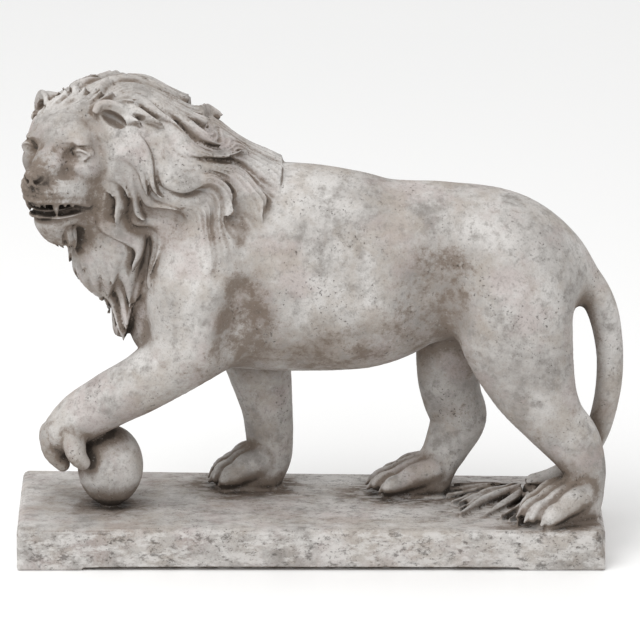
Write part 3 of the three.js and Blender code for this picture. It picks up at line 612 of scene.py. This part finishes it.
# The mane ends on the chest and shoulders along this line: x, and the height there.
MANE_HEM = [
    (-400, 335),
    (-300, 345),
    (-285, 405),
    (-262, 440),
    (-158, 462),
    (-117, 492),
    (-50, 590),
    (-30, 720),
]


def smooth(t):
    t = np.clip(t, 0, 1)
    return t * t * (3 - 2 * t)


def on_tip_plane(p):
    """Where points show on a plane seen from the tips' pole, through the ball."""
    n = (p - MANE_CENTRE) / MANE_REACH
    n = n / np.linalg.norm(n, axis=-1, keepdims=True)
    back = np.cross((0, 1, 0), TIP_POLE)
    return (n @ back + 1j * n[..., 1]) / np.maximum(1 - n @ TIP_POLE, 1e-3)


def flow_at(p):
    """Where points lie across and along the flow of the hair in widths of a lock, and that width there."""
    at = on_tip_plane(p)
    from_face = at - on_tip_plane(HAIR_POLE)
    apart = np.abs(from_face)
    across = LOCKS / (2 * math.pi) * np.angle(from_face)
    along = LOCKS / (2 * math.pi) * np.log(apart + 1e-6)
    # The width on the plane, then on a ball of radius 1, then in millimetres.
    width = 2 * math.pi / LOCKS * apart * 2 / (1 + np.abs(at) ** 2)
    width = width * np.linalg.norm(p - MANE_CENTRE, axis=-1)
    # The flow swings from side to side on its way, and narrows where it leans.
    sway = lattice_noise(p, 70, 3)
    phase = WAVE_TURN * along + 2 * sway
    lean = WAVE * WAVE_TURN * np.cos(phase)
    return across + WAVE * np.sin(phase) + 0.3 * sway, along, width / np.hypot(1, lean)


def lock_heights(layer, across, along, behind, above):
    """How high one layer's locks stand. They follow each other along the flow, and each curls to its tip."""
    place = across + layer / LAYERS
    column = np.floor(place)
    side = 2 * (place - column) - 1
    lock = column % LOCKS + 40.3 * layer
    run = along / LOCK_LENGTH + scatter(lock, 1)
    row = np.floor(run)
    t = run - row
    lock = lock + 7.3 * row
    shown = np.sqrt(np.clip(np.minimum(behind, above + 0.6 * (scatter(lock, 6) - 0.4)), 0, 1))
    curl = 1.3 * (scatter(lock, 2) - 0.5)
    wide = np.sin(math.pi * (0.1 + 0.9 * t)) ** 0.55 * (1 - np.abs(curl) * t * t) * shown
    v = (side - curl * t * t) / np.maximum(wide, 0.001)
    crest = smooth(t / 0.5) * (0.35 + 0.65 * t) * mix(0.75, 1.1, scatter(lock, 3)) * shown
    return LOCK_HEIGHT * crest * np.clip(1 - v * v, 0, 1) ** 0.6


class Mane:
    """The mass of the mane with layers of tapering locks along the flow, and strands along each."""

    low, high = np.array((-470.0, -160.0, 300.0)), np.array((20.0, 160.0, 810.0))

    def distance(self, p):
        across, along, width = flow_at(p)
        behind = (HAIRLINE - (p - HEAD_EYES) @ FORWARD) / HAIRLINE_RISE
        above = (p[:, 2] - np.interp(p[:, 0], *np.array(MANE_HEM).T)) / HEM_RISE
        # The locks are lower round the face.
        swell = mix(0.62, 1, smooth(behind / 2.5))
        height = np.zeros(len(p))
        for layer in range(LAYERS):
            own = lock_heights(layer, across, along, behind, above) * swell
            height = -blended(-height, -own, 2)
        # Strands too fine to carve fade out.
        fine = np.clip(width / STRANDS / (2 * CELL) - 1, 0, 1)
        strands = STRAND_DEPTH * fine * (0.5 + 0.5 * np.cos(2 * math.pi * across * STRANDS)) ** 1.4
        # Past the hairline and the hem the mass sinks under the face and the chest.
        base = mix(-14, 0, np.clip(3 * np.minimum(behind, above), 0, 1))
        return mane_bulk(p) - base - height + strands


def mane():
    join(Mane(), 8)


# The beard's rows: how many tufts each has, how far they hang down, and how far ahead of the eyes it lies.
BEARD = [(5, 40, -14), (4, 32, -2)]


def beard():
    """Tufts that hang from the chin, spread round it."""
    for count, drop, ahead in BEARD:
        for number, turn in enumerate(np.radians(np.linspace(-70, 70, count))):
            out = FORWARD * math.cos(turn) + LEFT * math.sin(turn)
            base = on_head(ahead, 0, -124) + FORWARD * 12 * math.cos(turn) + LEFT * 18 * math.sin(turn)
            stations = []
            for step in range(5):
                t = step / 4
                p = base + out * 5 * math.sin(math.pi * t) - UP * drop * t - FORWARD * 14 * t * t
                size = max(2.5, 10 * math.sin(math.pi * (0.35 + 0.6 * t)))
                stations.append((*p, size, size))
            join(Limb(stations, np.cross(UP, out), 3, strands_of(number + 300, 3, 2)), 5, 1.5)


class Slab:
    """The plinth: a block with rolled upper edges, a top that falls to one end, and a skew left end."""

    def __init__(self):
        self.half = np.array((PLINTH_LENGTH / 2, PLINTH_DEPTH / 2, PLINTH_HEIGHT / 2))
        self.low = -self.half + (-12, 0, self.half[2])
        self.high = self.half + (0, 0, self.half[2] + 4)

    def distance(self, p):
        along = (p[..., 0] / self.half[0] + 1) / 2
        back = (p[..., 1] / self.half[1] + 1) / 2
        # The edges are rounder towards the top.
        edge = mix(4, 13, np.clip(p[..., 2] / PLINTH_HEIGHT, 0, 1))
        q = np.abs(p - (0, 0, self.half[2])) - self.half + edge[..., None]
        # The top falls to the right and to the back, and the left end reaches further at the back.
        top = 1.5 - 5.5 * along - 3 * back - 6 * along * back
        q[..., 2] -= np.where(p[..., 2] > self.half[2], top, 0)
        q[..., 0] -= np.where(p[..., 0] < 0, 2 + 6 * back, 0)
        return np.linalg.norm(np.maximum(q, 0), axis=-1) + np.minimum(q.max(-1), 0) - edge


def plinth():
    join(Slab(), 9)
    # The worn place at the right end, and the shallow recess under the front.
    cut(Egg((482, -174, 58), (24, 30, 44)), 14)
    recess = [(-336, -167, 0, 2, 1), (-318, -167, 0, 15, 5), (282, -167, 0, 15, 5), (304, -167, 0, 2, 1)]
    cut(Limb(recess), 1)


# The block of space that holds the carving.
FIELD_LOW, FIELD_HIGH = np.array((-490.0, -190.0, -12.0)), np.array((525.0, 185.0, 830.0))
# The surface is looked for in wide cubes, and where it is near in fine ones, with sides of this many cells.
# Only in the fine cubes that it may cross is the field worked out at every cell.
WIDE, FINE = 8, 4
# The surface may cross a cube when the field at its middle is less than this share of its side, and a spare.
# The share is half the cube's diagonal, and more because the field isn't quite true.
CROSSED = 0.87 * 1.3
WIDE_SPARE, FINE_SPARE = 10, 9
# The field is cut off at this distance from the surface.
HELD = FINE * CELL


def sampled():
    """The field at every cell of the space. Away from the surface it holds only its sign."""
    size = (np.ceil((FIELD_HIGH - FIELD_LOW) / (WIDE * CELL)) * WIDE).astype(int)

    def centres(side):
        at = np.stack(np.meshgrid(*[np.arange(n // side) for n in size], indexing="ij"), -1)
        return FIELD_LOW + (at * side + (side - 1) / 2) * CELL

    wide = centres(WIDE)
    middles = field_at(wide.reshape(-1, 3)).reshape(wide.shape[:3])
    near = np.abs(middles) < WIDE * CELL * CROSSED + WIDE_SPARE
    for axis in range(3):
        middles = np.repeat(middles, WIDE // FINE, axis)
        near = np.repeat(near, WIDE // FINE, axis)
    middles[near] = field_at(centres(FINE)[near])
    near &= np.abs(middles) < FINE * CELL * CROSSED + FINE_SPARE
    grid = np.where(middles < 0, -HELD, HELD).astype(np.float32)
    for axis in range(3):
        grid = np.repeat(grid, FINE, axis)
    at = np.argwhere(near)
    blocks = grid.reshape(size[0] // FINE, FINE, size[1] // FINE, FINE, size[2] // FINE, FINE)
    values = field_in_blocks(FIELD_LOW + at * FINE * CELL, FINE).reshape(-1, FINE, FINE, FINE)
    blocks[at[:, 0], :, at[:, 1], :, at[:, 2], :] = values
    return np.ascontiguousarray(np.clip(grid, -HELD, HELD))


def surface_of(values):
    """The closed mesh where the field changes sign, in metres."""
    grid = openvdb.FloatGrid(HELD)
    grid.copyFromArray(values)
    points, _, quads = grid.convertToPolygons(isovalue=0.0, adaptivity=0.0)
    points = (points * CELL + FIELD_LOW) * MM
    mesh = bpy.data.meshes.new("lion_statue_stone")
    mesh.vertices.add(len(points))
    mesh.vertices.foreach_set("co", points.astype(np.float32).ravel())
    mesh.loops.add(quads.size)
    mesh.loops.foreach_set("vertex_index", quads.astype(np.int32).ravel())
    mesh.polygons.add(len(quads))
    mesh.polygons.foreach_set("loop_start", np.arange(0, quads.size, 4, dtype=np.int32))
    mesh.update(calc_edges=True)
    return mesh


def keep_largest_body(mesh):
    """Deletes the crumbs that the carving leaves beside the one casting."""
    edges = np.empty(len(mesh.edges) * 2, np.int32)
    mesh.edges.foreach_get("vertices", edges)
    a, b = edges.reshape(-1, 2).T
    body = np.arange(len(mesh.vertices))
    while (body[a] != body[b]).any():
        lowest = np.minimum(body[a], body[b])
        np.minimum.at(body, a, lowest)
        np.minimum.at(body, b, lowest)
        body = body[body]
    crumbs = np.flatnonzero(body != np.bincount(body).argmax())
    shape = bmesh.new()
    shape.from_mesh(mesh)
    shape.verts.ensure_lookup_table()
    bmesh.ops.delete(shape, geom=[shape.verts[i] for i in crumbs], context="VERTS")
    shape.to_mesh(mesh)
    shape.free()


def thinned(mesh):
    piece = bpy.data.objects.new("lion_statue_stone", mesh)
    bpy.context.scene.collection.objects.link(piece)
    faces = len(mesh.polygons) * 2
    if faces > TRIANGLES:
        thin = piece.modifiers.new("thin", "DECIMATE")
        thin.ratio = TRIANGLES / faces
        shown = piece.evaluated_get(bpy.context.evaluated_depsgraph_get())
        piece.data = bpy.data.meshes.new_from_object(shown)
        piece.modifiers.clear()
    keep_largest_body(piece.data)
    piece.data.polygons.foreach_set("use_smooth", np.ones(len(piece.data.polygons), bool))
    return piece


def scrambled(x, y, z, seed):
    """A number from -1 to 1 for whole numbers, with no pattern that shows and the same in every run."""
    mixed = (x * 73856093 ^ y * 19349663 ^ z * 83492791 ^ seed * 2654435761) & 0xFFFFFFFF
    mixed = (mixed ^ mixed >> 15) * 2246822519 & 0xFFFFFFFF
    mixed = (mixed ^ mixed >> 13) * 3266489917 & 0xFFFFFFFF
    return ((mixed ^ mixed >> 16) & 0xFFFF) / 32767.5 - 1


def lattice_noise(points, size, seed):
    """Smooth noise from -1 to 1 on a lattice of the given size."""
    q = points / size
    cell = np.floor(q).astype(np.int64)
    f = q - cell
    f = f * f * (3 - 2 * f)
    total = np.zeros(len(points))
    for corner in range(8):
        step = np.array((corner & 1, corner >> 1 & 1, corner >> 2))
        total += scrambled(*(cell + step).T, seed) * np.where(step, f, 1 - f).prod(1)
    return total


def rough_noise(points, size, seed, octaves=3):
    """Noise within -1 to 1 in up to three octaves, each half as large and half as strong as the last."""
    return sum(lattice_noise(points, size / 2 ** k, seed + k) / 2 ** k for k in range(octaves)) / 1.75


def points_and_normals(mesh):
    points = np.empty(len(mesh.vertices) * 3, np.float32)
    mesh.vertices.foreach_get("co", points)
    normals = np.empty(len(mesh.vertices) * 3, np.float32)
    mesh.vertex_normals.foreach_get("vector", normals)
    return points.reshape(-1, 3).astype(float) / MM, normals.reshape(-1, 3).astype(float)


# How deep the wear goes: broad and small lumps, chips at edges, and pits on the lion and on the plinth.
BROAD_LUMPS, SMALL_LUMPS, CHIPS, LION_PITS, PLINTH_PITS = 1.3, 0.8, 6, 2.5, 6
# How far in the stone is felt for to find an edge.
EDGE_REACH = 7


def weathered(piece):
    """Wears the surface in, and stores how hollow, how sheltered, how edged and how pitted each place is."""
    mesh = piece.data
    points, normals = points_and_normals(mesh)

    def shut_in(reach):
        return 1 - np.clip(field_at(points + normals * reach) / reach, 0, 1)

    # How shut in each place is, near and broad: the stone is painted darker there, as painted shade in
    # creases and under overhangs.
    hollow = np.maximum(shut_in(5), 0.85 * shut_in(11))
    shelter = 0.5 * (shut_in(24) + shut_in(55))
    edge = 1 - np.clip(-field_at(points - normals * EDGE_REACH) / EDGE_REACH, 0, 1)
    lumps = BROAD_LUMPS * (0.5 + 0.5 * rough_noise(points, 46, 1))
    lumps = lumps + SMALL_LUMPS * (0.5 + 0.5 * rough_noise(points, 15, 7))
    chips = np.clip(rough_noise(points, 30, 13) - 0.1, 0, 1) * CHIPS * edge
    on_plinth = np.clip((GROUND + 4 - points[:, 2]) / 6, 0, 1)
    pits = np.clip(rough_noise(points, 11, 21, 2) - 0.42, 0, 1) * mix(LION_PITS, PLINTH_PITS, on_plinth)
    # The underside stays flat on the ground.
    standing = np.clip(points[:, 2] / 3, 0, 1)
    worn = points - normals * ((lumps + chips + pits) * standing)[:, None]
    worn[:, 2] = np.maximum(worn[:, 2], 0)
    mesh.vertices.foreach_set("co", (worn * MM).astype(np.float32).ravel())
    mesh.update()
    stored = {"hollow": hollow, "shelter": shelter, "edge": edge, "pitted": np.clip(pits, 0, 1)}
    for name, values in stored.items():
        attribute = mesh.attributes.new(name, "FLOAT", "POINT")
        attribute.data.foreach_set("value", values.astype(np.float32))


body()
paws()
plinth()
tuft()
ball_under_paw()
skull()
mane()
muzzle()
teeth()
nose()
eyes()
ears()
beard()
statue = thinned(surface_of(sampled()))
weathered(statue)
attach(statue, "root")
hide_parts("lion_statue")


class Nodes:
    """Short calls for building a material's nodes."""

    def __init__(self, name):
        self.material = bpy.data.materials.new(name)
        self.material.use_nodes = True
        self.tree = self.material.node_tree
        self.shader = self.tree.nodes["Principled BSDF"]
        self.place = self.tree.nodes.new("ShaderNodeTexCoord").outputs["Object"]
        self.normal = self.tree.nodes.new("ShaderNodeNewGeometry").outputs["Normal"]

    def feed(self, socket, value):
        if isinstance(value, bpy.types.NodeSocket):
            self.tree.links.new(value, socket)
        else:
            socket.default_value = value

    def operate(self, kind, operation, values):
        node = self.tree.nodes.new(kind)
        node.operation = operation
        for socket, value in zip(node.inputs, values):
            self.feed(socket, value)
        return node.outputs

    def math(self, operation, *values):
        return self.operate("ShaderNodeMath", operation, values)[0]

    def vector(self, operation, *values):
        return self.operate("ShaderNodeVectorMath", operation, values)

    def sum(self, *values):
        total = values[0]
        for value in values[1:]:
            total = self.math("ADD", total, value)
        return total

    def times(self, value, factor):
        return self.math("MULTIPLY", value, factor)

    def upward(self, vector):
        """How far a vector reaches up."""
        node = self.tree.nodes.new("ShaderNodeSeparateXYZ")
        self.feed(node.inputs[0], vector)
        return node.outputs["Z"]

    def noise(self, size, detail=4, rough=0.6, offset=0, stretch=1):
        """Noise from 0 to 1 with features of about the given size in metres, stretched along the plinth."""
        moved = offset, offset * 0.7, offset * 1.3
        place = self.vector("MULTIPLY_ADD", self.place, (1 / stretch, 1, 1), moved)[0]
        node = self.tree.nodes.new("ShaderNodeTexNoise")
        self.feed(node.inputs["Vector"], place)
        node.inputs["Scale"].default_value = 1 / size
        node.inputs["Detail"].default_value = detail
        node.inputs["Roughness"].default_value = rough
        return node.outputs["Fac"]

    def near(self, middle, reach):
        """1 about a place given in millimetres, falling to 0 at its reach each way."""
        away = self.vector("SUBTRACT", self.place, [v * MM for v in middle])[0]
        away = self.vector("DIVIDE", away, [v * MM for v in reach])[0]
        return self.between(self.vector("LENGTH", away)["Value"], 1, 0)

    def between(self, value, none, full):
        """0 at the first number and past it, 1 at the second and past it, and smooth between."""
        node = self.tree.nodes.new("ShaderNodeMapRange")
        node.interpolation_type = "SMOOTHSTEP"
        self.feed(node.inputs["Value"], value)
        node.inputs["From Min"].default_value = none
        node.inputs["From Max"].default_value = full
        return node.outputs[0]

    def blend(self, factor, under, over):
        node = self.tree.nodes.new("ShaderNodeMix")
        node.data_type = "RGBA"
        self.feed(node.inputs["Factor"], factor)
        self.feed(node.inputs["A"], under)
        self.feed(node.inputs["B"], over)
        return node.outputs["Result"]

    def stored(self, name):
        node = self.tree.nodes.new("ShaderNodeAttribute")
        node.attribute_name = name
        return node.outputs["Fac"]


PALE, GREY = (0.64, 0.622, 0.603, 1), (0.25, 0.232, 0.216, 1)
WARM, PINK = (0.36, 0.31, 0.262, 1), (0.44, 0.37, 0.355, 1)
BROWN, DARK = (0.145, 0.108, 0.081, 1), (0.042, 0.033, 0.026, 1)
# Places painted browner on the broad surfaces, partly stains and partly painted shade, as under the jaw,
# behind the elbow, under the belly and on the far hind leg: each place's middle, its reach each way, and its
# strength.
STAINED_AND_SHADED_PLACES = [
    ((-104, -128, 400), (76, 80, 140), 0.36),
    ((214, -120, 482), (92, 80, 96), 0.48),
    ((172, -120, 395), (90, 80, 90), 0.42),
    ((40, -110, 335), (190, 90, 60), 0.2),
    ((-452, -170, 640), (100, 100, 140), 0.75),
    ((-345, -95, 590), (44, 70, 90), 0.5),
    ((-400, -70, 190), (70, 74, 66), 0.35),
    ((440, -90, 120), (70, 60, 60), 0.3),
    ((235, 60, 230), (80, 60, 130), 0.3),
]


def mottled(n, blots, spots, grains):
    """The bare stone: pale and grey in patches, pinkish and warm in others, and pale at rubbed edges."""
    tone = n.sum(n.times(n.noise(0.13, 6, 0.66), 0.45), n.times(blots, 0.35), n.times(spots, 0.2))
    stone = n.blend(n.between(tone, 0.38, 0.6), GREY, PALE)
    stone = n.blend(n.times(n.between(n.noise(0.10, 5, 0.68, 17), 0.48, 0.64), 0.5), stone, PINK)
    stone = n.blend(n.times(n.between(n.noise(0.085, 5, 0.68, 23), 0.45, 0.66), 0.55), stone, WARM)
    stone = n.blend(n.times(n.stored("edge"), 0.4), stone, PALE)
    mottle = n.sum(n.times(spots, 0.5), n.times(grains, 0.5))
    return n.blend(n.times(n.between(mottle, 0.52, 0.36), 0.55), stone, GREY)


def dirtied_and_shaded(n, stone, blots, spots, grains):
    """Darkens the stone: painted shade in hollows, in sheltered places and on surfaces that face down, brown
    stains in pits, and stains and painted shade at the listed places, broken up by blots, spots and grain.
    """
    # Surfaces that face down are painted darker, as painted shade.
    under = n.between(n.upward(n.normal), 0.2, -0.9)
    places = n.sum(*(n.times(n.near(middle, reach), strength) for middle, reach, strength in STAINED_AND_SHADED_PLACES))
    broken = n.between(n.sum(n.times(blots, 0.5), n.times(spots, 0.5)), 0.36, 0.6)
    # Hollows, shelter and facing down add painted shade, the listed places add stains and painted shade, and
    # blots, spots and grain add random grime.
    dirt_and_shade = n.sum(
        n.times(n.stored("hollow"), 1.1),
        n.times(n.stored("shelter"), 0.7),
        n.times(under, 0.4),
        n.times(places, n.sum(n.times(broken, 1.1), 0.35)),
        n.times(blots, 1.7),
        n.times(spots, 1.1),
        n.times(grains, 0.5),
        -1.78,
    )
    # Brown, and dark where this painted shade and grime are strongest.
    stone = n.blend(n.times(n.between(dirt_and_shade, -0.15, 0.7), 0.88), stone, BROWN)
    stone = n.blend(n.times(n.between(dirt_and_shade, 0.75, 1.5), 0.85), stone, DARK)
    return n.blend(n.times(n.stored("pitted"), 0.5), stone, BROWN)


def crusted(n, stone):
    """The plinth's sides are the roughest, with a pale crust and dark worn places."""
    low = n.between(n.upward(n.place), 0.074, 0.058)
    crust, holes = n.noise(0.020, 6, 0.75, 51, 2.2), n.noise(0.015, 6, 0.78, 57, 1.6)
    stone = n.blend(n.times(low, n.times(n.between(crust, 0.46, 0.58), 0.7)), stone, PALE)
    return n.blend(n.times(low, n.times(n.between(holes, 0.52, 0.63), 0.62)), stone, DARK)


def cast_stone():
    """Weathered cast stone: mottled, dirtied and darkened with painted shade, crusted on the plinth, and
    specked.
    """
    n = Nodes("cast_stone")
    blots, spots, grains = n.noise(0.042, 5, 0.7, 3), n.noise(0.013, 5, 0.7, 5), n.noise(0.0034, 3, 0.6, 9)
    stone = mottled(n, blots, spots, grains)
    stone = dirtied_and_shaded(n, stone, blots, spots, grains)
    stone = crusted(n, stone)

    # Dark specks come in patches, with a few pale ones.
    patchy = n.sum(n.times(n.between(n.noise(0.06, 4, 0.6, 31), 0.44, 0.64), 0.6), 0.1)
    specks = n.times(n.between(n.noise(0.0046, 2, 0.5, 37), 0.61, 0.72), patchy)
    stone = n.blend(specks, stone, DARK)
    stone = n.blend(n.times(n.between(n.noise(0.005, 2, 0.5, 41), 0.64, 0.74), 0.18), stone, PALE)
    n.feed(n.shader.inputs["Base Color"], stone)
    n.shader.inputs["Roughness"].default_value = 0.93
    n.shader.inputs["Specular IOR Level"].default_value = 0.25

    # The grain stands out by these heights in metres, and the dark specks are holes.
    coarse, fine = n.noise(0.012, 5, 0.65, 43), n.noise(0.0025, 3, 0.6, 47)
    height = n.sum(n.times(coarse, 0.0026), n.times(fine, 0.0007), n.times(specks, -0.0012))
    bump = n.tree.nodes.new("ShaderNodeBump")
    bump.inputs["Distance"].default_value = 1
    bump.inputs["Strength"].default_value = 0.75
    n.feed(bump.inputs["Height"], height)
    n.feed(n.shader.inputs["Normal"], bump.outputs[0])
    return n.material


statue.data.materials.append(cast_stone())

# The floor.
FLOOR_SIZE, FLOOR_COLOUR = 30, (0.98, 0.98, 0.975, 1)
bpy.ops.mesh.primitive_plane_add(size=FLOOR_SIZE)
floor = bpy.context.object
floor.name = "floor"
paint = bpy.data.materials.new("floor")
paint.use_nodes = True
paint.node_tree.nodes["Principled BSDF"].inputs["Base Color"].default_value = FLOOR_COLOUR
floor.data.materials.append(paint)

# The light: an even white room, and one broad lamp above the head's end in front.
ROOM_STRENGTH = 0.84
LAMP_POWER, LAMP_SIZE = 74, 2.5
LAMP_PLACE, LAMP_TARGET = (-1.4, -1.6, 3.2), (0, 0, 0.4)
world = bpy.data.worlds.new("studio")
world.use_nodes = True
world.node_tree.nodes["Background"].inputs["Color"].default_value = (1, 1, 1, 1)
world.node_tree.nodes["Background"].inputs["Strength"].default_value = ROOM_STRENGTH
bpy.context.scene.world = world
bpy.context.scene.view_settings.view_transform = "Standard"
lamp = bpy.data.lights.new("key", "AREA")
lamp.energy = LAMP_POWER
lamp.size = LAMP_SIZE
key = bpy.data.objects.new("key", lamp)
key.location = LAMP_PLACE
key.rotation_euler = (Vector(LAMP_TARGET) - key.location).to_track_quat("-Z", "Y").to_euler()
bpy.context.scene.collection.objects.link(key)

# The camera stands at the photograph's angle.
ELEVATION = math.radians(16)
DISTANCE = 9.0
PICTURE_SIZE, METRES_PER_PIXEL = 640, 0.0016
VIEW_WIDTH = PICTURE_SIZE * METRES_PER_PIXEL
# The place along the plinth in the picture's middle, and the row where the plinth's front meets the ground.
MIDDLE_X = 0.0128
FRONT_BOTTOM_ROW, MIDDLE_ROW = 571, PICTURE_SIZE // 2
lens = bpy.data.cameras.new("camera")
lens.sensor_width = 36
lens.lens = lens.sensor_width * DISTANCE / VIEW_WIDTH
camera = bpy.data.objects.new("camera", lens)
back = Vector((0, -math.cos(ELEVATION), math.sin(ELEVATION)))
rise = Vector((0, math.sin(ELEVATION), math.cos(ELEVATION)))
target = Vector((MIDDLE_X, -PLINTH_DEPTH / 2 * MM, 0))
target = target + rise * (FRONT_BOTTOM_ROW - MIDDLE_ROW) * METRES_PER_PIXEL
camera.location = target + back * DISTANCE
camera.rotation_euler = (-back).to_track_quat("-Z", "Y").to_euler()
bpy.context.scene.collection.objects.link(camera)
bpy.context.scene.camera = camera
